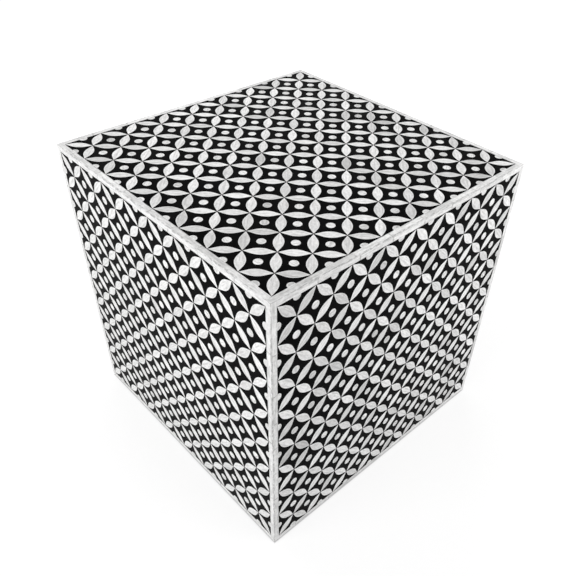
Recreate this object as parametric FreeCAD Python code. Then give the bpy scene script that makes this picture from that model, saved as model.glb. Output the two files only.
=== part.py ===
import FreeCAD, Part
import math
import os

# A cube-shaped side table: a hollow wooden box whose top and four sides are inlaid
# with bone petals, dots and edge strips in black resin. Lengths are in millimetres.
# The origin is on the floor under the middle of the table, +Z is up and the front is -Y.

# Overall size, outside the inlay, with the glides in the height
TABLE_WIDTH = 450.0
TABLE_DEPTH = 450.0
TABLE_HEIGHT = 450.0

# Inlay: one layer of bone and resin on the boards
INLAY_THICKNESS = 2.5
ARRIS_RADIUS = 0.9
STRIP_WIDTH = 8.3
GLUE_LINE = 0.2
PATTERN_PITCH = 54.2
PETAL_TIP_GAP = 0.3
PETAL_WIDTH_SHARE = 0.344
DOT_DIAMETER = 11.4
# Slope of a petal's sides at its tips, as a share of the slope of a diamond as long and wide
PETAL_TIP_SLOPE_SHARE = 1.38

# Where the lengths of bone in an edge strip meet, as shares of the strip
STRIP_JOINT_SHARES = (
    (0.113, 0.229, 0.332, 0.461, 0.590, 0.722, 0.868),
    (0.142, 0.262, 0.378, 0.487, 0.617, 0.756, 0.909),
    (0.098, 0.222, 0.352, 0.468, 0.574, 0.683, 0.831),
    (0.127, 0.271, 0.394, 0.522, 0.641, 0.775, 0.886),
    (0.106, 0.243, 0.367, 0.505, 0.629, 0.738, 0.857),
)

# Boards and their joints
WALL_THICKNESS = 15.0
TOP_THICKNESS = 18.0
BASE_THICKNESS = 9.0
CORNER_REBATE = 7.0
TOP_REBATE = 6.0
BASE_REBATE = 6.5
JOINT_CLEARANCE = 0.2

# Blocks and cleats inside the box
BLOCK_WIDTH = 34.0
BLOCK_CHAMFER = 12.0
CLEAT_WIDTH = 20.0
CLEAT_HEIGHT = 22.0

# Countersunk wood screws
SCREW_DIAMETER = 3.5
SCREW_HEAD_DIAMETER = 7.0
SCREW_TIP_LENGTH = 3.5
SCREW_BITE = 10.0
SCREW_HOLE_CLEARANCE = 0.05
RECESS_WIDTH = 0.9
RECESS_SPAN = 3.6
RECESS_DEPTH = 1.2
BLOCK_SCREW_INSET = 10.0

# Screw places, as shares of the length that they are spread along
WALL_SCREW_SHARES = (0.14, 0.86)
CLEAT_SCREW_SHARES = (0.3, 0.7)
BLOCK_FACE_SCREW_SHARES = (0.2, 0.8)
BLOCK_SIDE_SCREW_SHARES = (0.3, 0.7)

# Glides under the corners and their nails
GLIDE_HEIGHT = 3.0
GLIDE_DIAMETER = 24.0
GLIDE_EDGE_RADIUS = 1.0
NAIL_DIAMETER = 2.2
NAIL_HEAD_DIAMETER = 6.0
NAIL_HEAD_THICKNESS = 0.8
NAIL_RECESS = 0.6
NAIL_BITE = 8.0

# Cuts run past the piece by this much
OVERRUN = 5.0

# Places that follow from the sizes above
BODY_BOTTOM = GLIDE_HEIGHT
BODY_HEIGHT = TABLE_HEIGHT - GLIDE_HEIGHT
CORE_X = TABLE_WIDTH / 2 - INLAY_THICKNESS
CORE_Y = TABLE_DEPTH / 2 - INLAY_THICKNESS
CORE_TOP = TABLE_HEIGHT - INLAY_THICKNESS
INNER_X = CORE_X - WALL_THICKNESS
INNER_Y = CORE_Y - WALL_THICKNESS
WALL_TOP = CORE_TOP - TOP_THICKNESS + TOP_REBATE
TOP_UNDERSIDE = CORE_TOP - TOP_THICKNESS
BASE_TOP = BODY_BOTTOM + BASE_THICKNESS
SIGNS = (-1, 1)

UP = FreeCAD.Vector(0, 0, 1)
DOWN = FreeCAD.Vector(0, 0, -1)


def vector(x, y, z):
    return FreeCAD.Vector(x, y, z)


def box(one, other):
    """A block between two opposite corners, given in any order."""
    low = vector(min(one.x, other.x), min(one.y, other.y), min(one.z, other.z))
    return Part.makeBox(abs(other.x - one.x), abs(other.y - one.y), abs(other.z - one.z), low)


def block(half_x, half_y, low_z, high_z):
    """A block centred on the table's upright axis."""
    return box(vector(-half_x, -half_y, low_z), vector(half_x, half_y, high_z))


def save(name, solids):
    """Writes one node, a single solid or a group of separate ones."""
    shape = solids[0] if len(solids) == 1 else Part.makeCompound(solids)
    shape.exportStep(os.path.join("parts", name + ".step"))


def only_solid(shape):
    """The one solid that a cut or an intersection leaves."""
    solids = shape.Solids
    if len(solids) != 1:
        raise ValueError("expected one solid and found " + str(len(solids)))
    return solids[0]


# Fasteners


def turned(points):
    """A solid of revolution about the Z axis from points (radius, height)."""
    corners = [vector(radius, 0, height) for radius, height in points]
    wire = Part.makePolygon(corners + corners[:1])
    return only_solid(Part.Face(wire).revolve(vector(0, 0, 0), UP, 360))


def placed(shape, point, direction):
    """The shape with its origin at the point and its Z axis along the direction."""
    copy = shape.copy()
    copy.Placement = FreeCAD.Placement(point, FreeCAD.Rotation(UP, direction))
    return copy


def screw_envelope(length, gap):
    """A countersunk screw's outline with its head's face at the origin, widened by a gap."""
    head = SCREW_HEAD_DIAMETER / 2
    shank = SCREW_DIAMETER / 2
    return turned([
        (0, 0),
        (head + gap, 0),
        (shank + gap, head - shank),
        (shank + gap, length - SCREW_TIP_LENGTH),
        (0, length + gap),
    ])


def screw(length):
    """A countersunk screw with a cross recess in its head."""
    shape = screw_envelope(length, 0)
    half = RECESS_WIDTH / 2
    reach = RECESS_SPAN / 2
    depth = RECESS_DEPTH
    along_x = box(vector(-reach, -half, -OVERRUN), vector(reach, half, depth))
    along_y = box(vector(-half, -reach, -OVERRUN), vector(half, reach, depth))
    return only_solid(shape.cut(along_x.fuse(along_y)))


def spread(low, high, shares):
    """Places between two ends, at the given shares of the way."""
    return [low + share * (high - low) for share in shares]


def cleat_runs():
    """Each wall's cleats: the wall's name, the ways out and along, half the run, and the wall's distance."""
    run_x = INNER_X - BLOCK_WIDTH
    run_y = INNER_Y - BLOCK_WIDTH
    return (
        ("front", vector(0, -1, 0), vector(1, 0, 0), run_x, INNER_Y),
        ("back", vector(0, 1, 0), vector(1, 0, 0), run_x, INNER_Y),
        ("left", vector(-1, 0, 0), vector(0, 1, 0), run_y, INNER_X),
        ("right", vector(1, 0, 0), vector(0, 1, 0), run_y, INNER_X),
    )


def screw_places():
    """Every screw by node: lists of (length, middle of its head's face, direction)."""
    groups = {"cleat_screws": [], "top_screws": [], "base_screws": [], "block_screws": []}
    across = CLEAT_WIDTH + SCREW_BITE
    for _, outward, along, run, reach in cleat_runs():
        face = outward * (reach - CLEAT_WIDTH)
        middle = outward * (reach - CLEAT_WIDTH / 2)
        for height in (BASE_TOP + CLEAT_HEIGHT / 2, TOP_UNDERSIDE - CLEAT_HEIGHT / 2):
            for place in spread(-run, run, WALL_SCREW_SHARES):
                groups["cleat_screws"].append((across, face + along * place + UP * height, outward))
        for place in spread(-run, run, CLEAT_SCREW_SHARES):
            foot = middle + along * place
            top_head = foot + UP * (TOP_UNDERSIDE - CLEAT_HEIGHT)
            groups["top_screws"].append((CLEAT_HEIGHT + SCREW_BITE, top_head, UP))
            base_head = foot + UP * BODY_BOTTOM
            groups["base_screws"].append((BASE_THICKNESS + SCREW_BITE, base_head, UP))
    through = BLOCK_WIDTH + SCREW_BITE
    for sx in SIGNS:
        for sy in SIGNS:
            for height in spread(BASE_TOP, TOP_UNDERSIDE, BLOCK_FACE_SCREW_SHARES):
                head = vector(sx * (INNER_X - BLOCK_SCREW_INSET), sy * (INNER_Y - BLOCK_WIDTH), height)
                groups["block_screws"].append((through, head, vector(0, sy, 0)))
            for height in spread(BASE_TOP, TOP_UNDERSIDE, BLOCK_SIDE_SCREW_SHARES):
                head = vector(sx * (INNER_X - BLOCK_WIDTH), sy * (INNER_Y - BLOCK_SCREW_INSET), height)
                groups["block_screws"].append((through, head, vector(sx, 0, 0)))
    return groups


def glide_centres():
    inset = BLOCK_WIDTH / 2
    return [vector(sx * (INNER_X - inset), sy * (INNER_Y - inset), 0) for sx in SIGNS for sy in SIGNS]


def nail(gap):
    """A flat-headed nail pointing up from over the floor's origin, widened by a gap."""
    head = NAIL_HEAD_DIAMETER / 2 + gap
    shank = NAIL_DIAMETER / 2 + gap
    shoulder = NAIL_RECESS + NAIL_HEAD_THICKNESS
    tip = BASE_TOP + NAIL_BITE
    return turned([
        (0, NAIL_RECESS),
        (head, NAIL_RECESS),
        (head, shoulder),
        (shank, shoulder),
        (shank, tip - NAIL_DIAMETER),
        (0, tip + gap),
    ])


def glide():
    """A round glide with an eased rim and a recess for the nail's head."""
    disc = Part.makeCylinder(GLIDE_DIAMETER / 2, GLIDE_HEIGHT)
    rim = [edge for edge in disc.Edges if edge.BoundBox.ZMax < GLIDE_HEIGHT / 2]
    disc = disc.makeFillet(GLIDE_EDGE_RADIUS, rim)
    well = Part.makeCylinder(
        NAIL_HEAD_DIAMETER / 2 + SCREW_HOLE_CLEARANCE,
        OVERRUN + NAIL_RECESS + NAIL_HEAD_THICKNESS,
        vector(0, 0, -OVERRUN),
    )
    return only_solid(disc.cut(well.fuse(nail(SCREW_HOLE_CLEARANCE))))


# Box


def boards():
    """The six boards of the box before they are bored."""
    shoulder = WALL_THICKNESS - CORNER_REBATE
    seat = block(INNER_X + BASE_REBATE, INNER_Y + BASE_REBATE, BODY_BOTTOM - OVERRUN, BASE_TOP)
    pieces = {}
    for name, sy in (("front", -1), ("back", 1)):
        board = box(vector(-CORE_X, sy * CORE_Y, BODY_BOTTOM), vector(CORE_X, sy * INNER_Y, WALL_TOP))
        for sx in SIGNS:
            rebate = box(
                vector(sx * INNER_X, sy * (CORE_Y - shoulder), BODY_BOTTOM - OVERRUN),
                vector(sx * (CORE_X + OVERRUN), sy * (INNER_Y - OVERRUN), WALL_TOP + OVERRUN),
            )
            board = board.cut(rebate)
        pieces[name + "_board"] = board.cut(seat)
    end = CORE_Y - shoulder
    for name, sx in (("left", -1), ("right", 1)):
        board = box(vector(sx * INNER_X, -end, BODY_BOTTOM), vector(sx * CORE_X, end, WALL_TOP))
        pieces[name + "_board"] = board.cut(seat)
    plug = block(INNER_X - JOINT_CLEARANCE, INNER_Y - JOINT_CLEARANCE, TOP_UNDERSIDE, CORE_TOP)
    pieces["top_board"] = block(CORE_X, CORE_Y, WALL_TOP, CORE_TOP).fuse(plug).removeSplitter()
    base_x = INNER_X + BASE_REBATE - JOINT_CLEARANCE
    base_y = INNER_Y + BASE_REBATE - JOINT_CLEARANCE
    pieces["base_board"] = block(base_x, base_y, BODY_BOTTOM, BASE_TOP)
    return pieces


def blocks_and_cleats():
    """The upright blocks in the corners and the cleats between them, before they are bored."""
    pieces = {}
    for side, sy in (("front", -1), ("back", 1)):
        for hand, sx in (("left", -1), ("right", 1)):
            near_x = sx * INNER_X
            near_y = sy * INNER_Y
            far_x = sx * (INNER_X - BLOCK_WIDTH)
            far_y = sy * (INNER_Y - BLOCK_WIDTH)
            corners = [
                vector(near_x, near_y, BASE_TOP),
                vector(far_x, near_y, BASE_TOP),
                vector(far_x, far_y + sy * BLOCK_CHAMFER, BASE_TOP),
                vector(far_x + sx * BLOCK_CHAMFER, far_y, BASE_TOP),
                vector(near_x, far_y, BASE_TOP),
            ]
            face = Part.Face(Part.makePolygon(corners + corners[:1]))
            pieces["corner_block_" + side + "_" + hand] = face.extrude(UP * (TOP_UNDERSIDE - BASE_TOP))
    for name, outward, along, run, reach in cleat_runs():
        inner_end = outward * (reach - CLEAT_WIDTH) - along * run
        outer_end = outward * reach + along * run
        for level, low_z in (("base", BASE_TOP), ("top", TOP_UNDERSIDE - CLEAT_HEIGHT)):
            foot = inner_end + UP * low_z
            pieces[level + "_cleat_" + name] = box(foot, outer_end + UP * (low_z + CLEAT_HEIGHT))
    return pieces


def build_box():
    """Writes the screws, nails and glides, and the boards, blocks and cleats bored for them."""
    groups = screw_places()
    bores = []
    for name, places in groups.items():
        solids = []
        for length, point, direction in places:
            solids.append(placed(screw(length), point, direction))
            bores.append(placed(screw_envelope(length, SCREW_HOLE_CLEARANCE), point, direction))
        save(name, solids)
    nails = []
    glides = []
    for centre in glide_centres():
        nails.append(placed(nail(0), centre, UP))
        glides.append(placed(glide(), centre, UP))
        bores.append(placed(nail(SCREW_HOLE_CLEARANCE), centre, UP))
    save("glide_nails", nails)
    save("floor_glides", glides)
    pieces = boards()
    pieces.update(blocks_and_cleats())
    for name, piece in pieces.items():
        here = [bore for bore in bores if bore.BoundBox.intersect(piece.BoundBox)]
        save(name, [only_solid(piece.cut(here))])


# Inlay, laid out flat on each face: u to the right, v up and the outside at height 0


def edge_profile(half, low_mitred, high_mitred):
    """Outline of the inlay layer across a face: (place, height), arrises eased, edges mitred or square."""
    turn = math.pi / 4
    ease = ARRIS_RADIUS * (1 - math.cos(turn))
    edges = []
    for sign, mitred in ((-1, low_mitred), (1, high_mitred)):
        flat = vector(sign * (half - ARRIS_RADIUS), 0, 0)
        if mitred:
            swing = turn / 2
            last = vector(sign * (half - ease), 0, -ease)
            foot = vector(sign * (half - INLAY_THICKNESS), 0, -INLAY_THICKNESS)
        else:
            swing = turn
            last = vector(sign * half, 0, -ARRIS_RADIUS)
            foot = vector(sign * half, 0, -INLAY_THICKNESS)
        rise = ARRIS_RADIUS * (1 - math.cos(swing))
        mid = vector(sign * (half - ARRIS_RADIUS + ARRIS_RADIUS * math.sin(swing)), 0, -rise)
        edges.append((flat, mid, last, foot))
    low, high = edges
    return Part.Wire([
        Part.LineSegment(low[0], high[0]).toShape(),
        Part.Arc(*high[:3]).toShape(),
        Part.LineSegment(high[2], high[3]).toShape(),
        Part.LineSegment(high[3], low[3]).toShape(),
        Part.LineSegment(low[3], low[2]).toShape(),
        Part.Arc(low[2], low[1], low[0]).toShape(),
    ])


def inlay_layer(half_u, half_v, low_v_mitred):
    """The whole inlay of a face as one plate, which the strips are cut from."""
    reach_u = half_u + OVERRUN
    reach_v = half_v + OVERRUN
    across = Part.Face(edge_profile(half_u, True, True)).extrude(vector(0, 2 * reach_v, 0))
    across.translate(vector(0, -reach_v, 0))
    along = Part.Face(edge_profile(half_v, low_v_mitred, True)).extrude(vector(0, 2 * reach_u, 0))
    along.translate(vector(0, -reach_u, 0))
    along.rotate(vector(0, 0, 0), UP, 90)
    return only_solid(across.common(along))


def strips(half_u, half_v, low_v_mitred, first_shares):
    """The four edge strips: each runs past the next one clockwise, and butts on the one before."""
    layer = inlay_layer(half_u, half_v, low_v_mitred)
    found = {}
    for turn, side in enumerate(("bottom", "left", "top", "right")):
        upright = turn % 2 == 1
        half_run, half_span = (half_v, half_u) if upright else (half_u, half_v)
        start = -half_run + STRIP_WIDTH + GLUE_LINE
        shares = STRIP_JOINT_SHARES[(first_shares + turn) % len(STRIP_JOINT_SHARES)]
        joints = spread(start, half_run, shares)
        lows = [start] + [place + GLUE_LINE / 2 for place in joints]
        highs = [place - GLUE_LINE / 2 for place in joints] + [half_run + OVERRUN]
        pieces = []
        for low, high in zip(lows, highs):
            length = box(
                vector(-high, -half_span - OVERRUN, -INLAY_THICKNESS - OVERRUN),
                vector(-low, -half_span + STRIP_WIDTH, OVERRUN),
            )
            length.rotate(vector(0, 0, 0), UP, -90 * turn)
            pieces.append(only_solid(layer.common(length)))
        found[side] = pieces
    return found


def petal_wire(start, end):
    """A pointed oval from one point to another, clockwise: straight at its tips and round in the middle."""
    axis = end - start
    across = vector(-axis.y, axis.x, 0)
    middle = (start + end) * 0.5
    half = PETAL_WIDTH_SHARE / 2
    slope = PETAL_WIDTH_SHARE * PETAL_TIP_SLOPE_SHARE
    slant = math.hypot(1, slope)
    radius = (slope / 2 - half) / (slant - 1)
    shoulder = axis * (radius * slope / slant)
    edges = []
    tips = (start, end)
    for sign in SIGNS:
        crown = middle - across * (sign * half)
        level = crown + across * (sign * radius * (1 - 1 / slant))
        first = level + shoulder * sign
        last = level - shoulder * sign
        edges.append(Part.LineSegment(tips[0], first).toShape())
        edges.append(Part.Arc(first, crown, last).toShape())
        edges.append(Part.LineSegment(last, tips[1]).toShape())
        tips = (end, start)
    return Part.Wire(edges)


def dot_wire(centre, radius):
    """A circle in two arcs, clockwise."""
    right = centre + vector(radius, 0, 0)
    left = centre - vector(radius, 0, 0)
    return Part.Wire([
        Part.Arc(right, centre - vector(0, radius, 0), left).toShape(),
        Part.Arc(left, centre + vector(0, radius, 0), right).toShape(),
    ])


def thick(wires):
    """A bone piece or plate as deep as the inlay, from its outline on the outside and any holes."""
    return Part.Face(wires).extrude(DOWN * INLAY_THICKNESS)


def pattern(half_u, half_v):
    """Resin plate, petals and dots inside the strips of a face."""
    reach_u = half_u - STRIP_WIDTH
    reach_v = half_v - STRIP_WIDTH
    count_u = max(1, round(2 * reach_u / PATTERN_PITCH))
    count_v = max(1, round(2 * reach_v / PATTERN_PITCH))
    pitch_u = 2 * reach_u / count_u
    pitch_v = 2 * reach_v / count_v
    radius = DOT_DIAMETER / 2

    petals = []
    for i in range(count_u):
        for j in range(count_v):
            centre = vector((i + 0.5) * pitch_u - reach_u, (j + 0.5) * pitch_v - reach_v, 0)
            for su in SIGNS:
                for sv in SIGNS:
                    ray = vector(su * pitch_u / 2, sv * pitch_v / 2, 0)
                    gap = ray * (PETAL_TIP_GAP / ray.Length)
                    petals.append(petal_wire(centre + gap, centre + ray - gap))

    spots = [vector((i + 0.5) * pitch_u - reach_u, j * pitch_v - reach_v, 0)
             for i in range(count_u) for j in range(1, count_v)]
    spots += [vector(i * pitch_u - reach_u, (j + 0.5) * pitch_v - reach_v, 0)
              for i in range(1, count_u) for j in range(count_v)]
    dots = [dot_wire(spot, radius) for spot in spots]

    # The half dots stand on the sides of the plate, in order round its outline
    corners = [vector(-reach_u, -reach_v, 0), vector(reach_u, -reach_v, 0),
               vector(reach_u, reach_v, 0), vector(-reach_u, reach_v, 0)]
    half_dots = []
    outline = []
    for turn in range(4):
        corner = corners[turn]
        side = corners[(turn + 1) % 4] - corner
        ahead = vector(side.x / side.Length, side.y / side.Length, 0)
        inward = vector(-ahead.y, ahead.x, 0)
        count = count_v if turn % 2 else count_u
        here = corner
        for i in range(count):
            spot = corner + side * ((i + 0.5) / count)
            first = spot - ahead * radius
            last = spot + ahead * radius
            crown = Part.Arc(first, spot + inward * radius, last).toShape()
            outline += [Part.LineSegment(here, first).toShape(), crown]
            half_dots.append(Part.Wire([crown, Part.LineSegment(last, first).toShape()]))
            here = last
        outline.append(Part.LineSegment(here, corners[(turn + 1) % 4]).toShape())

    # The outline runs anticlockwise and every hole clockwise
    resin = thick([Part.Wire(outline)] + petals + dots)
    return resin, [thick(wire) for wire in petals], [thick(wire) for wire in dots + half_dots]


def lay(solids, place):
    """Moves flat pieces on to their face."""
    for solid in solids:
        solid.Placement = place.multiply(solid.Placement)
    return solids


def build_inlay():
    """Writes the resin, petals, dots and strips of the five inlaid faces."""
    middle = BODY_BOTTOM + BODY_HEIGHT / 2
    half_x = TABLE_WIDTH / 2
    half_y = TABLE_DEPTH / 2
    half_z = BODY_HEIGHT / 2
    faces = (
        ("top", vector(0, 0, TABLE_HEIGHT), vector(1, 0, 0), vector(0, 1, 0), half_x, half_y),
        ("front", vector(0, -half_y, middle), vector(1, 0, 0), UP, half_x, half_z),
        ("back", vector(0, half_y, middle), vector(-1, 0, 0), UP, half_x, half_z),
        ("left", vector(-half_x, 0, middle), vector(0, -1, 0), UP, half_y, half_z),
        ("right", vector(half_x, 0, middle), vector(0, 1, 0), UP, half_y, half_z),
    )
    for order, (name, centre, right, up, half_u, half_v) in enumerate(faces):
        # All edges of the top meet a side, and the bottom edges of the sides meet nothing
        is_top = name == "top"
        strip_names = {"bottom": "front", "top": "back"} if is_top else {}
        place = FreeCAD.Placement(centre, FreeCAD.Rotation(right, up, right.cross(up), "ZXY"))
        resin, petals, dots = pattern(half_u, half_v)
        save(name + "_resin", lay([resin], place))
        save(name + "_petals", lay(petals, place))
        save(name + "_dots", lay(dots, place))
        for side, pieces in strips(half_u, half_v, is_top, order).items():
            save(name + "_strip_" + strip_names.get(side, side), lay(pieces, place))


os.makedirs("parts", exist_ok=True)
build_box()
build_inlay()
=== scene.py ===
import math
import random

import bpy
from mathutils import Matrix, Vector


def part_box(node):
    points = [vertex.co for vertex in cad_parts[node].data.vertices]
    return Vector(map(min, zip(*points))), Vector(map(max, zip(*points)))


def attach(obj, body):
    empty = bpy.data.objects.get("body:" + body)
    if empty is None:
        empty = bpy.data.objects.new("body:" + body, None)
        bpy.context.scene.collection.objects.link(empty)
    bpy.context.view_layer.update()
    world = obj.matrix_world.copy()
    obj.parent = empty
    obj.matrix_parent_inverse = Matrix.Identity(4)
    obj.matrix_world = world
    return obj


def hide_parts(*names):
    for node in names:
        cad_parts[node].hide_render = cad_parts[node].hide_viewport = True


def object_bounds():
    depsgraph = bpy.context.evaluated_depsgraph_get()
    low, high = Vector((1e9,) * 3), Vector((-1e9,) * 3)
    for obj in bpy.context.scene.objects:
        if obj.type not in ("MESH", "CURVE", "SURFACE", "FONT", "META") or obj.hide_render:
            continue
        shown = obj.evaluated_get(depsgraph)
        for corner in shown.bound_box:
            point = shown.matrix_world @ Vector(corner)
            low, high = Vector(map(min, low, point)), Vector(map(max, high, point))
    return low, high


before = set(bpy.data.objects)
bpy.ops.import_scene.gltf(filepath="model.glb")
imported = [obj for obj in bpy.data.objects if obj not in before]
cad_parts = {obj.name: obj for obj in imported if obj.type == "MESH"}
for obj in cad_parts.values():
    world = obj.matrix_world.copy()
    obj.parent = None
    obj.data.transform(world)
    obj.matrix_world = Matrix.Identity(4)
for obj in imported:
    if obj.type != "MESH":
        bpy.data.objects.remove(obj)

# A cube side table inlaid with bone petals, dots and edge strips in black resin.
# Lengths are in metres, +Z is up, and the front of the table is -Y.

CAD_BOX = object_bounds()
MM = 0.001

# Pattern
REPEATS = 8
PETAL_TIP_GAP = 0.3 * MM
PETAL_WIDTH_SHARE = 0.344
PETAL_TIP_SLOPE_SHARE = 1.38
DOT_DIAMETER = 11.4 * MM
GLUE_LINE = 0.2 * MM

# Sides of a face in the order that its strips are laid, and what the strips on them are called
SIDES = ("bottom", "left", "top", "right")
SIDE_STRIPS = dict(zip(SIDES, SIDES))
TOP_STRIPS = dict(zip(SIDES, ("front", "left", "back", "right")))

# Where the lengths of bone in an edge strip meet, as shares of the strip
STRIP_JOINT_SHARES = (
    (0.113, 0.229, 0.332, 0.461, 0.590, 0.722, 0.868),
    (0.142, 0.262, 0.378, 0.487, 0.617, 0.756, 0.909),
    (0.098, 0.222, 0.352, 0.468, 0.574, 0.683, 0.831),
    (0.127, 0.271, 0.394, 0.522, 0.641, 0.775, 0.886),
    (0.106, 0.243, 0.367, 0.505, 0.629, 0.738, 0.857),
)

# Cutting of the bone, which stops a hairline short of the resin
HAIRLINE = 0.06 * MM
PETAL_CIRCLE_POINTS = 64
DOT_POINTS = 20
ARRIS_RADIUS = 0.9 * MM
ARRIS_STROKES = 3
EASED_EDGE = 0.18 * MM
EASED_ANGLE = math.radians(40)
RIM_WIDTH = 1.3 * MM
SMOOTH_ANGLE = math.radians(30)
STRIP_SMOOTH_ANGLE = math.radians(5)

# A face of a mesh counts as facing up when its normal has more Z than this
FACING_UP = 0.99

# How far from a seam a glue stain is full, and over what length it then fades
STAIN_REACH = 0.4 * ARRIS_RADIUS
STAIN_FADE = 0.75 * ARRIS_RADIUS

# Tones of the bone pieces, from 0 for the darkest to 1 for the palest
FIRST_SEED = 101
STRIP_WHITER = 0.09
HALF_DOT_WHITER = -0.1

# Figure of the bone: repeats per metre along a piece, across it and in depth
STREAK_SCALE = (45, 380, 1)
LINE_SCALE = (130, 2200, 1)
CLOUD_SCALE = (70, 110, 1)
MOTTLE_SCALE = (210, 360, 1)
PORE_SCALE = (260, 1500, 1)
STAIN_SCALE = (160, 160, 1)
FIGURE_DEPTH = 90.0

# Shares by which the figure darkens the bone or changes its tone, and by which a painted highlight makes
# the rim paler
STREAK_SHADE = 0.3
LINE_SHADE = 0.2
MOTTLE_SHADE = 0.16
PORE_SHADE = 0.25
STAIN_SHADES = (0.1, 0.55)
CLOUD_TONES = (-0.1, 0.1)
RIM_HIGHLIGHT_SHARE = 0.6

# How strong the streaks are on each kind of piece. The grain of a dot can lie any way.
PETAL_STREAKS, DOT_STREAKS, STRIP_STREAKS = 0.7, 0.8, 0.9
DOT_GRAIN_TURN = 2 * math.pi

# Sanded film: clouds and pinholes per metre, and the turn and scale of each set of scratches
FILM_CLOUD_SCALE = 22.0
FILM_PINHOLE_SCALE = 260.0
FILM_SCRATCHES = ((0.35, (900, 30, 900)), (-0.6, (30, 900, 900)), (1.1, (900, 900, 30)))
FILM_SCRATCH_AXIS = (0.58, 0.58, 0.58)

# Wood: repeats per metre along the grain and across it, and how far the rings sway
SWAY_SCALE = (3, 9, 9)
SWAY_ACROSS = 0.05
SWAY_DEEP = 0.02
RING_SCALE = 28.0
RING_STRETCH = 0.04
FIBRE_SCALE = (25, 900, 900)
WOOD_PORE_SCALE = (90, 1600, 1600)
GRAIN_TURNS = {"X": (0, 0, 0), "Y": (0, 0, math.radians(90)), "Z": (0, math.radians(90), 0)}

# Colours, a dark and a pale one where a figure mixes them
BONE_DARK, BONE_PALE = (0.46, 0.458, 0.453, 1), (0.98, 0.977, 0.971, 1)
# The rim colour is a painted highlight along the edge of each piece of bone
BONE_RIM_HIGHLIGHT = (0.92, 0.917, 0.911, 1)
RESIN_DARK, RESIN_PALE = (0.0022, 0.0022, 0.0023, 1), (0.0048, 0.0048, 0.005, 1)
RESIN_SCRATCH = (0.016, 0.016, 0.016, 1)
RESIN_PINHOLE = (0.12, 0.12, 0.117, 1)
BOARD_COLOURS = (0.16, 0.085, 0.04, 1), (0.42, 0.26, 0.14, 1)
BATTEN_COLOURS = (0.42, 0.27, 0.14, 1), (0.68, 0.50, 0.31, 1)
PLYWOOD_COLOURS = (0.010, 0.008, 0.007, 1), (0.035, 0.028, 0.023, 1)
ZINC_COLOURS = (0.62, 0.53, 0.33, 1), (0.45, 0.40, 0.30, 1)
STEEL_COLOURS = (0.56, 0.56, 0.57, 1), (0.42, 0.42, 0.43, 1)
NYLON_DARK, NYLON_PALE = (0.018, 0.018, 0.019, 1), (0.035, 0.035, 0.036, 1)
NYLON_SCRATCH = (0.12, 0.12, 0.115, 1)

# Roughness from the smoothest to the roughest places, and the depth of the finest relief
BONE_ROUGHNESS = (0.3, 0.42)
RESIN_ROUGHNESS = (0.2, 0.32)
STEEL_ROUGHNESS = (0.28, 0.5)
NYLON_ROUGHNESS = (0.45, 0.6)
BOARD_ROUGHNESS, BATTEN_ROUGHNESS, PLYWOOD_ROUGHNESS = 0.55, 0.6, 0.5
WOOD_ROUGHER = 0.15
PORE_ROUGHER = 0.2
RESIN_SPECULAR = 0.005
STREAK_HEIGHT, LINE_HEIGHT = 0.6, 0.3
BONE_RELIEF = 0.08 * MM
RESIN_RELIEF = 0.03 * MM
WOOD_RELIEF = 0.2 * MM
STEEL_RELIEF = 0.05 * MM
NYLON_RELIEF = 0.1 * MM

# Camera of the photograph
CAMERA_EYE = Vector((-530.6, -593.7, 850.4)) * MM
CAMERA_AIM = Vector((-24.8, -82.2, 226.5)) * MM
CAMERA_ROLL = math.radians(2.33)
CAMERA_SENSOR = 36
CAMERA_LENS = 39.72
CAMERA_SHIFT = (-0.0433, 0.0487)

# Studio: each lamp has its name, its place and its watts
AMBIENT = 0.34
WHITE = (1, 1, 1, 1)
LAMP_SIZE = 1.2
LAMPS = (
    ("left softbox", (-1.65, 0.00, 0.75), 21.4),
    ("overhead softbox", (-0.10, 1.20, 1.70), 13.5),
    ("front softbox", (0.52, -1.26, 0.75), 14.9),
    ("back fill", (1.50, 1.50, 0.50), 26.0),
)

# The floor glows a little more the further it is from the table; right under its foot the glow is cut by
# place, a painted shade on top of the real contact shadow
FLOOR_SIZE = 16
FLOOR_GREY = (0.23, 0.23, 0.23, 1)
FLOOR_GLOW = (0.78, 0.95)
FLOOR_GLOW_REACH = (0.4, 2.0)
CONTACT_SHADE = 3 * MM
CONTACT_GLOW = 0.1

# Sizes read from the frame
LOW, HIGH = (Vector(corner) for corner in CAD_BOX)
BODY_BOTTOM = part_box("front_strip_bottom")[0][2]
STRIP_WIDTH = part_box("front_resin")[0][2] - BODY_BOTTOM
INLAY_THICKNESS = HIGH.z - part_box("top_resin")[0][2]
MIDDLE_Z = (BODY_BOTTOM + HIGH.z) / 2


class Face:
    """One inlaid face, seen from outside: u runs to the right, v runs up, and n comes out."""

    def __init__(self, name, centre, right, up, strip_names, middle_tone_and_painted_light, tone_spread):
        self.name = name
        self.middle_tone_and_painted_light = middle_tone_and_painted_light
        self.tone_spread = tone_spread
        right, up, centre = Vector(right), Vector(up), Vector(centre)
        out = right.cross(up)
        self.place = Matrix.Translation(centre) @ Matrix((right, up, out)).transposed().to_4x4()
        size = HIGH - Vector((LOW.x, LOW.y, BODY_BOTTOM))
        self.half_u = abs(right.dot(size)) / 2
        self.half_v = abs(up.dot(size)) / 2
        self.reach_u = self.half_u - STRIP_WIDTH
        self.reach_v = self.half_v - STRIP_WIDTH
        self.pitch_u = 2 * self.reach_u / REPEATS
        self.pitch_v = 2 * self.reach_v / REPEATS
        self.strip_names = strip_names
        self.has_bottom_mitre = name == "top"
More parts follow.
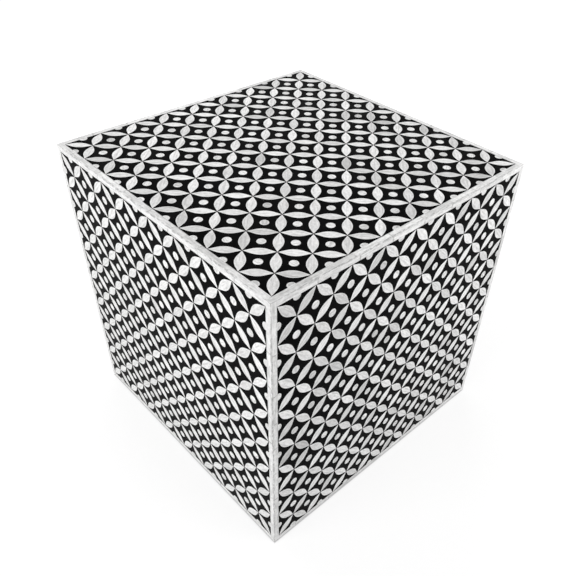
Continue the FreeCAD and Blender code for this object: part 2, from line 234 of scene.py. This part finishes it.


# The last two values are the middle and the spread of the tones of a face's bone. The left face's bone is
# painted paler and more even, as the lit side.
FACES = (
    Face("top", (0, 0, HIGH.z), (1, 0, 0), (0, 1, 0), TOP_STRIPS, 0.74, 0.20),
    Face("front", (0, LOW.y, MIDDLE_Z), (1, 0, 0), (0, 0, 1), SIDE_STRIPS, 0.77, 0.18),
    Face("back", (0, HIGH.y, MIDDLE_Z), (-1, 0, 0), (0, 0, 1), SIDE_STRIPS, 0.75, 0.19),
    # Painted light: the left face's bone tone is raised as the side that the strongest lamp lights
    Face("left", (LOW.x, 0, MIDDLE_Z), (0, -1, 0), (0, 0, 1), SIDE_STRIPS, 0.87, 0.09),
    Face("right", (HIGH.x, 0, MIDDLE_Z), (0, 1, 0), (0, 0, 1), SIDE_STRIPS, 0.75, 0.19),
)


# Handling of objects


def clear_selection():
    bpy.ops.object.select_all(action="DESELECT")


def pick(*objects):
    """Only these objects are selected, and the first is the active one."""
    clear_selection()
    for item in objects:
        item.select_set(True)
    bpy.context.view_layer.objects.active = objects[0]


def new_object(name):
    """The primitive just added, with its place and size put in its mesh."""
    item = bpy.context.object
    item.name = name
    bpy.ops.object.transform_apply(location=True, rotation=True, scale=True)
    return item


def twin(item):
    """A copy with its own mesh."""
    other = item.copy()
    other.data = item.data.copy()
    bpy.context.collection.objects.link(other)
    return other


def settle(item, matrix):
    """Moves a piece and puts its new place in its mesh."""
    item.matrix_world = matrix
    bpy.context.view_layer.update()
    pick(item)
    bpy.ops.object.transform_apply(location=True, rotation=True, scale=True)


def join(items):
    pick(*items)
    if len(items) > 1:
        bpy.ops.object.join()
    return bpy.context.object


def apply_modifier(item, kind, **values):
    pick(item)
    modifier = item.modifiers.new(kind.lower(), kind)
    for key, value in values.items():
        setattr(modifier, key, value)
    bpy.ops.object.modifier_apply(modifier=modifier.name)


def repeat(item, count, step):
    """Copies of a piece in a row, inside the same mesh."""
    apply_modifier(item, "ARRAY", count=count, use_relative_offset=False,
                   use_constant_offset=True, constant_offset_displace=step)


def edit(item, kind="FACE"):
    """Starts editing a mesh with all of its faces, edges or vertices selected."""
    pick(item)
    bpy.ops.object.mode_set(mode="EDIT")
    bpy.ops.mesh.select_mode(type=kind)
    bpy.ops.mesh.select_all(action="SELECT")


def done():
    bpy.ops.object.mode_set(mode="OBJECT")


def select_faces(item, wanted):
    """In edit mode, selects only the faces that a test on the face accepts."""
    bpy.ops.mesh.select_mode(type="FACE")
    bpy.ops.mesh.select_all(action="DESELECT")
    done()
    for face in item.data.polygons:
        face.select = wanted(face)
    bpy.ops.object.mode_set(mode="EDIT")


def faces_up(face):
    return face.normal.z > FACING_UP


def paint(item, material):
    item.data.materials.clear()
    item.data.materials.append(material)


# Bone


def store(item, name, values):
    """Keeps a number for every vertex, for the material to read."""
    item.data.attributes.new(name, "FLOAT", "POINT").data.foreach_set("value", values)


def mark_rim(item):
    """Stores where the edge of each piece is: 0 at vertices inside the flat of the top and 1 elsewhere."""
    rim = [0.0] * len(item.data.vertices)
    for face in item.data.polygons:
        if not faces_up(face):
            for vertex in face.vertices:
                rim[vertex] = 1.0
    store(item, "rim", rim)


def mark_grain(item):
    """Unwraps the piece flat, in metres, so that its grain follows its own length."""
    mesh = item.data
    while mesh.uv_layers:
        mesh.uv_layers.remove(mesh.uv_layers[0])
    layer = mesh.uv_layers.new(name="grain")
    for loop in mesh.loops:
        point = mesh.vertices[loop.vertex_index].co
        layer.data[loop.index].uv = (point.x, point.y)


def draw_bone(dice, face, whiter=0.0):
    """A piece of bone for a face: its tone, drawn round the face's middle, and its own place in the
    figure. The left face's middle holds painted light.
    """
    tone = min(1.0, max(0.0, dice.gauss(face.middle_tone_and_painted_light + whiter, face.tone_spread)))
    return tone, dice.random()


def store_bones(item, bones):
    """Stores the tone and the place in the figure, given for every vertex."""
    for name, values in zip(("tone", "seed"), zip(*bones)):
        store(item, name, values)


def mark_pieces(item, vertices_each, dice, face, whiter=0.0):
    """Gives every piece of bone in the mesh its own tone and its own place in the figure."""
    bones = []
    for _ in range(len(item.data.vertices) // vertices_each):
        bones += [draw_bone(dice, face, whiter)] * vertices_each
    store_bones(item, bones)


def make_slab(item):
    """Turns a flat outline into a slab of bone as deep as the inlay, with its top edge eased."""
    edit(item)
    bpy.ops.mesh.extrude_region_move(TRANSFORM_OT_translate={"value": (0, 0, -INLAY_THICKNESS)})
    bpy.ops.mesh.select_all(action="SELECT")
    bpy.ops.mesh.normals_make_consistent(inside=False)
    select_faces(item, faces_up)
    bpy.ops.mesh.bevel(offset=EASED_EDGE, offset_type="OFFSET", segments=1, affect="EDGES")
    select_faces(item, faces_up)
    bpy.ops.mesh.inset(thickness=RIM_WIDTH)
    done()
    mark_rim(item)
    mark_grain(item)


def cut_petal(length):
    """A pointed oval along X: the crown of a disc drawn down to straight tips, then mirrored."""
    half = PETAL_WIDTH_SHARE / 2
    slope = PETAL_WIDTH_SHARE * PETAL_TIP_SLOPE_SHARE
    slant = math.hypot(1, slope)
    radius = length * (slope / 2 - half) / (slant - 1)
    shoulder = length * half - radius * (1 - 1 / slant)
    clear_selection()
    bpy.ops.mesh.primitive_circle_add(vertices=PETAL_CIRCLE_POINTS, radius=radius, fill_type="NGON",
                                      location=(0, length * half - radius, 0))
    petal = new_object("petal")
    edit(petal, "EDGE")
    bpy.ops.mesh.bisect(plane_co=(0, shoulder, 0), plane_no=(0, 1, 0), clear_inner=True)
    bpy.ops.mesh.extrude_region_move(TRANSFORM_OT_translate={"value": (0, -shoulder, 0)})
    done()
    crown_reach = max(vertex.co.x for vertex in petal.data.vertices)
    bpy.ops.object.mode_set(mode="EDIT")
    bpy.ops.transform.resize(value=(length / 2 / crown_reach, 1, 1), center_override=(0, 0, 0))
    done()
    apply_modifier(petal, "MIRROR", use_axis=(False, True, False), merge_threshold=HAIRLINE)
    edit(petal)
    bpy.ops.mesh.dissolve_faces()
    done()
    make_slab(petal)
    return petal


def lay_petals(face, dice):
    """Four petals to a repeat, from its middle to its corners, over the whole face."""
    ray = Vector((face.pitch_u, face.pitch_v, 0)) / 2
    petal = cut_petal(ray.length - 2 * PETAL_TIP_GAP - 2 * HAIRLINE)
    each = len(petal.data.vertices)
    first_middle = Vector((face.pitch_u / 2 - face.reach_u, face.pitch_v / 2 - face.reach_v, 0))
    four = []
    for sign_u in (-1, 1):
        for sign_v in (-1, 1):
            turn = math.atan2(sign_v * ray.y, sign_u * ray.x)
            spot = first_middle + Vector((sign_u * ray.x, sign_v * ray.y, 0)) / 2
            copy = twin(petal)
            settle(copy, Matrix.Translation(spot) @ Matrix.Rotation(turn, 4, "Z"))
            four.append(copy)
    bpy.data.objects.remove(petal)
    petals = join(four)
    repeat(petals, REPEATS, (face.pitch_u, 0, 0))
    repeat(petals, REPEATS, (0, face.pitch_v, 0))
    mark_pieces(petals, each, dice, face)
    settle(petals, face.place)
    return petals


def cut_dot():
    """A flat round, to be halved or made into a slab."""
    clear_selection()
    radius = DOT_DIAMETER / 2 - HAIRLINE
    bpy.ops.mesh.primitive_circle_add(vertices=DOT_POINTS, radius=radius, fill_type="NGON")
    return new_object("dot")


def lay_rows(piece, place, steps, dice, face, whiter=0.0):
    """Copies of a piece from a first place on, by steps and their counts, in one mesh."""
    rows = twin(piece)
    settle(rows, place)
    for count, step in steps:
        repeat(rows, count, step)
    mark_pieces(rows, len(piece.data.vertices), dice, face, whiter)
    return rows


def lay_dots(face, dice):
    """Whole dots between the petals, and half dots where the strips cut them."""
    start_u, start_v = -face.reach_u, -face.reach_v
    step_u, step_v = (face.pitch_u, 0, 0), (0, face.pitch_v, 0)
    rows = []

    whole = cut_dot()
    make_slab(whole)
    inner = REPEATS - 1
    for count_u, count_v, first_u, first_v in ((REPEATS, inner, 0.5, 1), (inner, REPEATS, 1, 0.5)):
        spot = Vector((start_u + first_u * face.pitch_u, start_v + first_v * face.pitch_v, 0))
        steps = ((count_u, step_u), (count_v, step_v))
        rows.append(lay_rows(whole, Matrix.Translation(spot), steps, dice, face))
    bpy.data.objects.remove(whole)

    half = cut_dot()
    edit(half)
    bpy.ops.mesh.bisect(plane_co=(0, HAIRLINE, 0), plane_no=(0, 1, 0), clear_inner=True)
    done()
    make_slab(half)
    first_u, first_v = start_u + face.pitch_u / 2, start_v + face.pitch_v / 2
    sides = (
        (0, Vector((first_u, start_v, 0)), step_u),
        (180, Vector((first_u, -start_v, 0)), step_u),
        (-90, Vector((start_u, first_v, 0)), step_v),
        (90, Vector((-start_u, first_v, 0)), step_v),
    )
    for turn, spot, step in sides:
        place = Matrix.Translation(spot) @ Matrix.Rotation(math.radians(turn), 4, "Z")
        rows.append(lay_rows(half, place, ((REPEATS, step),), dice, face, HALF_DOT_WHITER))
    bpy.data.objects.remove(half)

    dots = join(rows)
    settle(dots, face.place)
    return dots


def saw(item, point, normal):
    """Cuts off all that lies beyond a plane and closes the cut."""
    edit(item)
    bpy.ops.mesh.bisect(plane_co=point, plane_no=normal, clear_outer=True, use_fill=True)
    done()


def round_arris(item, corner, outward, mitred):
    """Planes the outer edge round with a few flat strokes, after sawing its mitre if it has one."""
    up = Vector((0, 0, 1))
    if mitred:
        saw(item, corner, outward - up)
    centre = corner - (outward + up) * ARRIS_RADIUS
    sweep = 45 if mitred else 90
    for stroke in range(ARRIS_STROKES):
        angle = math.radians(sweep * (stroke + 0.5) / ARRIS_STROKES)
        normal = outward * math.sin(angle) + up * math.cos(angle)
        saw(item, centre + normal * ARRIS_RADIUS, normal)


def mark_seam(strip, joints, run, span):
    """Stores how near each vertex is to a glue line: at the mitred edges and where two lengths butt.

    An edge at an infinite distance is a free one, with no glue line.
    """
    seam = []
    for vertex in strip.data.vertices:
        from_joint = min(abs(vertex.co.x - joint) for joint in joints)
        reach = min(vertex.co.x + run, vertex.co.y + span, from_joint)
        seam.append(min(1.0, max(0.0, 1 - (reach - STAIN_REACH) / STAIN_FADE)))
    store(strip, "seam", seam)


def mark_lengths(strip, joints, dice, face):
    """Gives every length of bone in a strip its own tone and its own place in the figure."""
    draws = [draw_bone(dice, face, STRIP_WHITER) for _ in range(len(joints) + 1)]
    store_bones(strip, [draws[sum(vertex.co.x > joint for joint in joints)]
                        for vertex in strip.data.vertices])


def cut_strip(face, dice, run, span, shares, side_mitred, end_mitred):
    """An edge strip along the bottom of a face, its through end at the left, in lengths of bone.

    run is half the face along the strip and span half the face across it.
    """
    start = run - STRIP_WIDTH - GLUE_LINE
    joints = [start - share * (start + run) for share in shares]
    rights = [start] + [place - GLUE_LINE / 2 for place in joints]
    lefts = [place + GLUE_LINE / 2 for place in joints] + [-run]
    middle_y, middle_z = STRIP_WIDTH / 2 - span - HAIRLINE / 2, -INLAY_THICKNESS / 2
    lengths = []
    for left, right in zip(lefts, rights):
        clear_selection()
        bpy.ops.mesh.primitive_cube_add(size=1, location=((left + right) / 2, middle_y, middle_z),
                                        scale=(right - left, STRIP_WIDTH - HAIRLINE, INLAY_THICKNESS))
        lengths.append(new_object("length of bone"))
    strip = join(lengths)
    round_arris(strip, Vector((0, -span, 0)), Vector((0, -1, 0)), side_mitred)
    round_arris(strip, Vector((-run, 0, 0)), Vector((-1, 0, 0)), end_mitred)
    apply_modifier(strip, "BEVEL", width=EASED_EDGE, segments=1, limit_method="ANGLE",
                   angle_limit=EASED_ANGLE)
    edit(strip)
    select_faces(strip, faces_up)
    bpy.ops.mesh.inset(thickness=RIM_WIDTH, use_individual=True)
    done()
    mark_rim(strip)
    mark_seam(strip, joints, run if end_mitred else math.inf, span if side_mitred else math.inf)
    mark_grain(strip)
    mark_lengths(strip, sorted(joints), dice, face)
    return strip


def lay_strips(face, first_shares, dice):
    """Four edge strips: each runs past the next one clockwise and butts on the one before."""
    found = {}
    for turn, side in enumerate(SIDES):
        run, span = (face.half_v, face.half_u) if turn % 2 else (face.half_u, face.half_v)
        shares = STRIP_JOINT_SHARES[(first_shares + turn) % len(STRIP_JOINT_SHARES)]
        side_mitred = face.has_bottom_mitre or side != "bottom"
        end_mitred = face.has_bottom_mitre or side != "right"
        strip = cut_strip(face, dice, run, span, shares, side_mitred, end_mitred)
        settle(strip, face.place @ Matrix.Rotation(math.radians(-90 * turn), 4, "Z"))
        found[f"{face.name}_strip_{face.strip_names[side]}"] = strip
    return found


def finish_piece(item, node, material, smooth_angle):
    """Names a finished piece, shades it, and lets it stand for its node."""
    pick(item)
    bpy.ops.object.shade_smooth_by_angle(angle=smooth_angle)
    item.name = "bone_" + node
    item.data.name = item.name
    paint(item, material)
    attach(item, "root")
    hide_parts(node)


# Shader groups


class Nodes:
    """Short hand for laying out nodes in a material or a group."""

    def __init__(self, tree):
        self.tree = tree

    def add(self, kind, links=None, **values):
        """A new node. Each of its links is an output of another node, or a value for the socket."""
        node = self.tree.nodes.new(kind)
        for key, value in values.items():
            setattr(node, key, value)
        for key, source in (links or {}).items():
            socket = node.inputs[key]
            if hasattr(source, "links"):
                self.tree.links.new(source, socket)
            else:
                socket.default_value = source
        return node

    def link(self, sources, sockets):
        """Links each source to the socket of its name."""
        for label, source in sources.items():
            self.tree.links.new(source, sockets[label])

    def math(self, operation, first, second=0.0, clamp=False):
        node = self.add("ShaderNodeMath", {0: first, 1: second}, operation=operation, use_clamp=clamp)
        return node.outputs[0]

    def times(self, first, second):
        return self.math("MULTIPLY", first, second)

    def ramp(self, value, low, high, to_low=0.0, to_high=1.0):
        """Goes softly from one result to the other while the value goes from low to high."""
        return self.add("ShaderNodeMapRange", {"Value": value, "From Min": low, "From Max": high,
                                               "To Min": to_low, "To Max": to_high},
                        interpolation_type="SMOOTHSTEP").outputs["Result"]

    def scaled(self, vector, scale):
        return self.add("ShaderNodeVectorMath", {0: vector, 1: scale}, operation="MULTIPLY").outputs[0]

    def noise(self, vector, scale, detail=2.0, roughness=0.5):
        return self.add("ShaderNodeTexNoise", {"Vector": vector, "Scale": scale, "Detail": detail,
                                               "Roughness": roughness}).outputs["Fac"]

    def drawn_noise(self, vector, scale, detail=2.0, roughness=0.5):
        """Noise drawn out by a scale for each axis."""
        return self.noise(self.scaled(vector, scale), 1.0, detail, roughness)

    def specks(self, vector, scale, size, rarity):
        """Round specks in the middle of some cells. Each of the last two is a pair of limits."""
        cells = self.add("ShaderNodeTexVoronoi", {"Vector": vector, "Scale": scale}).outputs
        chance = self.add("ShaderNodeSeparateColor", {0: cells["Color"]}).outputs[0]
        return self.times(self.ramp(cells["Distance"], *size), self.ramp(chance, *rarity))

    def mix(self, share, first, second):
        """A colour between two, by a share of the second."""
        return self.add("ShaderNodeMix", {0: share, 6: first, 7: second}, data_type="RGBA").outputs[2]

    def dim(self, colour, amount):
        """A colour darkened by a share."""
        keep = self.math("SUBTRACT", 1.0, amount)
        return self.add("ShaderNodeVectorMath", {0: colour, "Scale": keep}, operation="SCALE").outputs[0]


def new_group(name, inputs, outputs):
    group = bpy.data.node_groups.new(name, "ShaderNodeTree")
    for label, kind, value in inputs:
        socket = group.interface.new_socket(label, in_out="INPUT", socket_type=kind)
        if value is not None:
            socket.default_value = value
    for label, kind in outputs:
        group.interface.new_socket(label, in_out="OUTPUT", socket_type=kind)
    nodes = Nodes(group)
    return group, nodes, nodes.add("NodeGroupInput").outputs, nodes.add("NodeGroupOutput").inputs


def make_bone_figure():
    """Bone's own look: a tone for each piece, and streaks, mottling and pores along it; the paler rim is a
    painted highlight.
    """
    group, nodes, given, made = new_group("bone figure", (
        ("Grain", "NodeSocketVector", None),
        ("Tone", "NodeSocketFloat", 0.5),
        ("Seed", "NodeSocketFloat", 0.0),
        ("Rim", "NodeSocketFloat", 0.0),
        ("Seam", "NodeSocketFloat", 0.0),
        ("Streaks", "NodeSocketFloat", 0.5),
    ), (
        ("Color", "NodeSocketColor"),
        ("Roughness", "NodeSocketFloat"),
        ("Height", "NodeSocketFloat"),
    ))
    depth = nodes.times(given["Seed"], FIGURE_DEPTH)
    flat = nodes.add("ShaderNodeSeparateXYZ", {0: given["Grain"]}).outputs
    own = nodes.add("ShaderNodeCombineXYZ", {0: flat[0], 1: flat[1], 2: depth}).outputs[0]
    broad = nodes.drawn_noise(own, STREAK_SCALE, detail=3.0, roughness=0.55)
    fine = nodes.drawn_noise(own, LINE_SCALE, roughness=0.6)
    cloud = nodes.drawn_noise(own, CLOUD_SCALE)
    mottle = nodes.drawn_noise(own, MOTTLE_SCALE, roughness=0.6)
    stain = nodes.drawn_noise(own, STAIN_SCALE, detail=3.0, roughness=0.6)
    pore = nodes.specks(nodes.scaled(own, PORE_SCALE), 1.0, size=(0.26, 0.1), rarity=(0.55, 0.75))
    streak = nodes.times(nodes.ramp(broad, 0.42, 0.72), given["Streaks"])
    line = nodes.times(nodes.ramp(fine, 0.5, 0.75), given["Streaks"])

    tone = nodes.math("ADD", given["Tone"], nodes.ramp(cloud, 0.3, 0.7, *CLOUD_TONES), clamp=True)
    colour = nodes.mix(tone, BONE_DARK, BONE_PALE)
    colour = nodes.dim(colour, nodes.times(streak, STREAK_SHADE))
    colour = nodes.dim(colour, nodes.times(line, LINE_SHADE))
    colour = nodes.dim(colour, nodes.ramp(mottle, 0.35, 0.65, 0.0, MOTTLE_SHADE))
    colour = nodes.dim(colour, nodes.times(pore, PORE_SHADE))
    # Painted highlight: the rim of each piece is mixed toward a paler colour
    colour = nodes.mix(nodes.times(given["Rim"], RIM_HIGHLIGHT_SHARE), colour, BONE_RIM_HIGHLIGHT)
    colour = nodes.dim(colour, nodes.times(given["Seam"], nodes.ramp(stain, 0.38, 0.62, *STAIN_SHADES)))

    rough = nodes.ramp(broad, 0.3, 0.7, *BONE_ROUGHNESS)
    rough = nodes.math("ADD", rough, nodes.times(pore, PORE_ROUGHER))
    high = nodes.math("SUBTRACT", nodes.times(broad, STREAK_HEIGHT), pore)
    high = nodes.math("ADD", high, nodes.times(fine, LINE_HEIGHT))
    nodes.link({"Color": colour, "Roughness": rough, "Height": high}, made)
    return group


def make_sanded_film():
    """A sanded and polished surface: soft clouds, fine scratches several ways and scattered pinholes."""
    group, nodes, given, made = new_group("sanded film", (
        ("Place", "NodeSocketVector", None),
    ), (
        ("Cloud", "NodeSocketFloat"),
        ("Scratch", "NodeSocketFloat"),
        ("Pinhole", "NodeSocketFloat"),
    ))
    cloud = nodes.noise(given["Place"], FILM_CLOUD_SCALE, detail=4.0, roughness=0.6)
    scratches = []
    for turn, scale in FILM_SCRATCHES:
        turned = nodes.add("ShaderNodeVectorRotate", {"Vector": given["Place"], "Angle": turn,
                                                      "Axis": FILM_SCRATCH_AXIS}).outputs[0]
        scratches.append(nodes.drawn_noise(turned, scale, detail=1.0))
    scratch = nodes.math("MAXIMUM", nodes.math("MAXIMUM", *scratches[:2]), scratches[2])
    hole = nodes.specks(given["Place"], FILM_PINHOLE_SCALE, size=(0.12, 0.05), rarity=(0.8, 0.82))
    nodes.link({"Cloud": nodes.ramp(cloud, 0.3, 0.7), "Scratch": nodes.ramp(scratch, 0.62, 0.8),
                "Pinhole": hole}, made)
    return group


def make_board_grain():
    """Long wood figure along the X of the place that it is given: rings, fibres and pores."""
    group, nodes, given, made = new_group("board grain", (
        ("Place", "NodeSocketVector", None),
    ), (
        ("Ring", "NodeSocketFloat"),
        ("Fibre", "NodeSocketFloat"),
        ("Pore", "NodeSocketFloat"),
    ))
    sway = nodes.drawn_noise(given["Place"], SWAY_SCALE)
    flat = nodes.add("ShaderNodeSeparateXYZ", {0: given["Place"]}).outputs
    along = nodes.times(flat[0], RING_STRETCH)
    across = nodes.math("ADD", flat[1], nodes.times(sway, SWAY_ACROSS))
    deep = nodes.math("ADD", flat[2], nodes.times(sway, SWAY_DEEP))
    bent = nodes.add("ShaderNodeCombineXYZ", {0: along, 1: across, 2: deep}).outputs[0]
    ring = nodes.add("ShaderNodeTexWave", {"Vector": bent, "Scale": RING_SCALE, "Distortion": 2.5,
                                           "Detail": 2.0}, bands_direction="Y").outputs["Fac"]
    fibre = nodes.drawn_noise(given["Place"], FIBRE_SCALE, detail=3.0)
    pore = nodes.drawn_noise(given["Place"], WOOD_PORE_SCALE, detail=1.0)
    nodes.link({"Ring": ring, "Fibre": fibre, "Pore": nodes.ramp(pore, 0.62, 0.7)}, made)
    return group


# Materials


def new_material(name):
    material = bpy.data.materials.new(name)
    material.use_nodes = True
    nodes = Nodes(material.node_tree)
    shader = material.node_tree.nodes["Principled BSDF"]
    return material, nodes, shader


def object_place(nodes):
    return nodes.add("ShaderNodeTexCoord").outputs["Object"]


def film_look(nodes, film):
    """What the sanded film gives at each place of the table."""
    return nodes.add("ShaderNodeGroup", {"Place": object_place(nodes)}, node_tree=film).outputs


def set_surface(nodes, shader, colour, roughness, height, strength, depth):
    """Gives a shader its colour, its roughness and its finest relief."""
    relief = nodes.add("ShaderNodeBump", {"Height": height, "Strength": strength, "Distance": depth})
    nodes.link({"Base Color": colour, "Roughness": roughness, "Normal": relief.outputs["Normal"]},
               shader.inputs)


def bone_material(name, figure, streaks, grain_turn=0.0):
    """Polished bone. With a turn, the grain of each piece lies its own way, by up to that angle."""
    material, nodes, shader = new_material(name)
    grain = nodes.add("ShaderNodeUVMap", uv_map="grain").outputs[0]
    stored = {label: nodes.add("ShaderNodeAttribute", attribute_name=label.lower()).outputs["Fac"]
              for label in ("Seed", "Tone", "Rim", "Seam")}
    if grain_turn:
        turn = nodes.times(stored["Seed"], grain_turn)
        grain = nodes.add("ShaderNodeVectorRotate", {"Vector": grain, "Angle": turn}).outputs[0]
    look = nodes.add("ShaderNodeGroup", node_tree=figure)
    look.inputs["Streaks"].default_value = streaks
    nodes.link({"Grain": grain, **stored}, look.inputs)
    set_surface(nodes, shader, look.outputs["Color"], look.outputs["Roughness"],
                look.outputs["Height"], strength=0.35, depth=BONE_RELIEF)
    return material


def resin_material(film):
    material, nodes, shader = new_material("black resin")
    look = film_look(nodes, film)
    colour = nodes.mix(look["Cloud"], RESIN_DARK, RESIN_PALE)
    colour = nodes.mix(nodes.times(look["Scratch"], 0.25), colour, RESIN_SCRATCH)
    colour = nodes.mix(nodes.times(look["Pinhole"], 0.5), colour, RESIN_PINHOLE)
    rough = nodes.ramp(look["Cloud"], 0.0, 1.0, *RESIN_ROUGHNESS)
    marks = nodes.math("ADD", look["Scratch"], look["Pinhole"])
    height = nodes.math("SUBTRACT", 1.0, marks)
    set_surface(nodes, shader, colour, rough, height, strength=0.1, depth=RESIN_RELIEF)
    shader.inputs["Specular IOR Level"].default_value = RESIN_SPECULAR
    return material


def wood_material(name, grain, along, colours, roughness):
    """Wood whose grain runs along one axis of the table."""
    material, nodes, shader = new_material(name)
    place = nodes.add("ShaderNodeMapping", {"Vector": object_place(nodes),
                                            "Rotation": GRAIN_TURNS[along]}).outputs[0]
    look = nodes.add("ShaderNodeGroup", {"Place": place}, node_tree=grain).outputs
    share = nodes.math("ADD", nodes.times(look["Ring"], 0.6), nodes.times(look["Fibre"], 0.4))
    colour = nodes.dim(nodes.mix(share, *colours), nodes.times(look["Pore"], 0.4))
    rough = nodes.ramp(look["Fibre"], 0.2, 0.8, roughness, roughness + WOOD_ROUGHER)
    height = nodes.math("SUBTRACT", look["Fibre"], look["Pore"])
    set_surface(nodes, shader, colour, rough, height, strength=0.4, depth=WOOD_RELIEF)
    return material


def steel_material(name, film, colours):
    material, nodes, shader = new_material(name)
    look = film_look(nodes, film)
    colour = nodes.mix(look["Cloud"], *colours)
    rough = nodes.ramp(look["Scratch"], 0.0, 1.0, *STEEL_ROUGHNESS)
    set_surface(nodes, shader, colour, rough, look["Scratch"], strength=0.2, depth=STEEL_RELIEF)
    shader.inputs["Metallic"].default_value = 1.0
    return material


def nylon_material(film):
    material, nodes, shader = new_material("glide nylon")
    look = film_look(nodes, film)
    colour = nodes.mix(look["Cloud"], NYLON_DARK, NYLON_PALE)
    colour = nodes.mix(nodes.times(look["Scratch"], 0.5), colour, NYLON_SCRATCH)
    rough = nodes.ramp(look["Cloud"], 0.0, 1.0, *NYLON_ROUGHNESS)
    set_surface(nodes, shader, colour, rough, look["Scratch"], strength=0.3, depth=NYLON_RELIEF)
    return material


# The table


def paint_node(node, material):
    paint(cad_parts[node], material)


def lay_inlay(film):
    """The bone of every inlaid face, with the resin round it."""
    figure = make_bone_figure()
    petal_bone = bone_material("petal bone", figure, PETAL_STREAKS)
    dot_bone = bone_material("dot bone", figure, DOT_STREAKS, DOT_GRAIN_TURN)
    strip_bone = bone_material("strip bone", figure, STRIP_STREAKS)
    resin = resin_material(film)
    for order, face in enumerate(FACES):
        dice = random.Random(FIRST_SEED + order)
        finish_piece(lay_petals(face, dice), face.name + "_petals", petal_bone, SMOOTH_ANGLE)
        finish_piece(lay_dots(face, dice), face.name + "_dots", dot_bone, SMOOTH_ANGLE)
        for node, strip in lay_strips(face, order, dice).items():
            finish_piece(strip, node, strip_bone, STRIP_SMOOTH_ANGLE)
        paint_node(face.name + "_resin", resin)


def paint_box():
    """The boards, cleats and corner blocks, each with its grain along its length."""
    grain = make_board_grain()
    boards = {along: wood_material("board wood along " + along, grain, along,
                                   BOARD_COLOURS, BOARD_ROUGHNESS) for along in "XY"}
    battens = {along: wood_material("batten wood along " + along, grain, along,
                                    BATTEN_COLOURS, BATTEN_ROUGHNESS) for along in "XYZ"}
    plywood = wood_material("stained plywood", grain, "X", PLYWOOD_COLOURS, PLYWOOD_ROUGHNESS)
    for side, along in (("front", "X"), ("back", "X"), ("left", "Y"), ("right", "Y")):
        paint_node(side + "_board", boards[along])
        for level in ("top", "base"):
            paint_node(f"{level}_cleat_{side}", battens[along])
    paint_node("top_board", boards["X"])
    paint_node("base_board", plywood)
    for side in ("front", "back"):
        for hand in ("left", "right"):
            paint_node(f"corner_block_{side}_{hand}", battens["Z"])


def paint_fixings(film):
    """The screws, and the glides with their nails."""
    zinc = steel_material("yellow zinc", film, ZINC_COLOURS)
    for node in ("cleat_screws", "top_screws", "base_screws", "block_screws"):
        paint_node(node, zinc)
    paint_node("glide_nails", steel_material("bright steel", film, STEEL_COLOURS))
    paint_node("floor_glides", nylon_material(film))


def dress_table():
    film = make_sanded_film()
    lay_inlay(film)
    paint_box()
    paint_fixings(film)


# Studio


def seen_white(nodes):
    """1 for rays that show the background: from the camera, and by reflection or through glass."""
    path = nodes.add("ShaderNodeLightPath").outputs
    seen = nodes.math("MAXIMUM", path["Is Camera Ray"], path["Is Glossy Ray"])
    return nodes.math("MAXIMUM", seen, path["Is Transmission Ray"])


def make_floor():
    clear_selection()
    bpy.ops.mesh.primitive_plane_add(size=FLOOR_SIZE, location=(0, 0, 0))
    floor = new_object("floor")
    material, nodes, shader = new_material("white floor")
    material.node_tree.nodes.remove(shader)
    matt = nodes.add("ShaderNodeBsdfDiffuse", {"Color": FLOOR_GREY})
    place = object_place(nodes)
    away = nodes.add("ShaderNodeVectorMath", {0: place}, operation="LENGTH").outputs["Value"]
    white = nodes.ramp(away, *FLOOR_GLOW_REACH, *FLOOR_GLOW)
    aside = nodes.add("ShaderNodeVectorMath", {0: place}, operation="ABSOLUTE").outputs[0]
    aside = nodes.add("ShaderNodeSeparateXYZ", {0: aside}).outputs
    beyond_table = nodes.math("MAXIMUM", nodes.math("SUBTRACT", aside[0], HIGH.x),
                              nodes.math("SUBTRACT", aside[1], HIGH.y))
    # Painted shade: the floor's glow drops under and right at the table's foot, deepening the real contact
    # shadow there
    painted_contact_shade = nodes.ramp(beyond_table, -CONTACT_SHADE, CONTACT_SHADE / 2, CONTACT_GLOW, 1.0)
    strength = nodes.times(seen_white(nodes), nodes.times(white, painted_contact_shade))
    glow = nodes.add("ShaderNodeEmission", {"Strength": strength})
    both = nodes.add("ShaderNodeAddShader", {0: matt.outputs[0], 1: glow.outputs[0]})
    nodes.link({"Surface": both.outputs[0]}, material.node_tree.nodes["Material Output"].inputs)
    paint(floor, material)


def make_world():
    world = bpy.data.worlds.new("studio")
    bpy.context.scene.world = world
    world.use_nodes = True
    nodes = Nodes(world.node_tree)
    background = world.node_tree.nodes["Background"].inputs
    seen = seen_white(nodes)
    strength = nodes.add("ShaderNodeMix", {0: seen, 2: AMBIENT, 3: 1.0}, data_type="FLOAT").outputs[0]
    background["Color"].default_value = WHITE
    nodes.link({"Strength": strength}, background)


def make_lamps():
    aim = Vector((0, 0, MIDDLE_Z))
    for name, spot, watts in LAMPS:
        clear_selection()
        bpy.ops.object.light_add(type="AREA", location=spot)
        lamp = bpy.context.object
        lamp.name = name
        lamp.data.size = LAMP_SIZE
        lamp.data.energy = watts
        lamp.rotation_euler = (aim - Vector(spot)).to_track_quat("-Z", "Y").to_euler()
        lamp.visible_camera = False
        lamp.visible_glossy = False


def make_camera():
    clear_selection()
    bpy.ops.object.camera_add(location=CAMERA_EYE)
    camera = bpy.context.object
    look = (CAMERA_AIM - CAMERA_EYE).to_track_quat("-Z", "Y").to_matrix()
    camera.rotation_euler = (look @ Matrix.Rotation(CAMERA_ROLL, 3, "Z")).to_euler()
    camera.data.sensor_width = CAMERA_SENSOR
    camera.data.lens = CAMERA_LENS
    camera.data.shift_x, camera.data.shift_y = CAMERA_SHIFT
    bpy.context.scene.camera = camera


dress_table()
make_floor()
make_world()
make_lamps()
make_camera()
bpy.context.scene.view_settings.view_transform = "Standard"
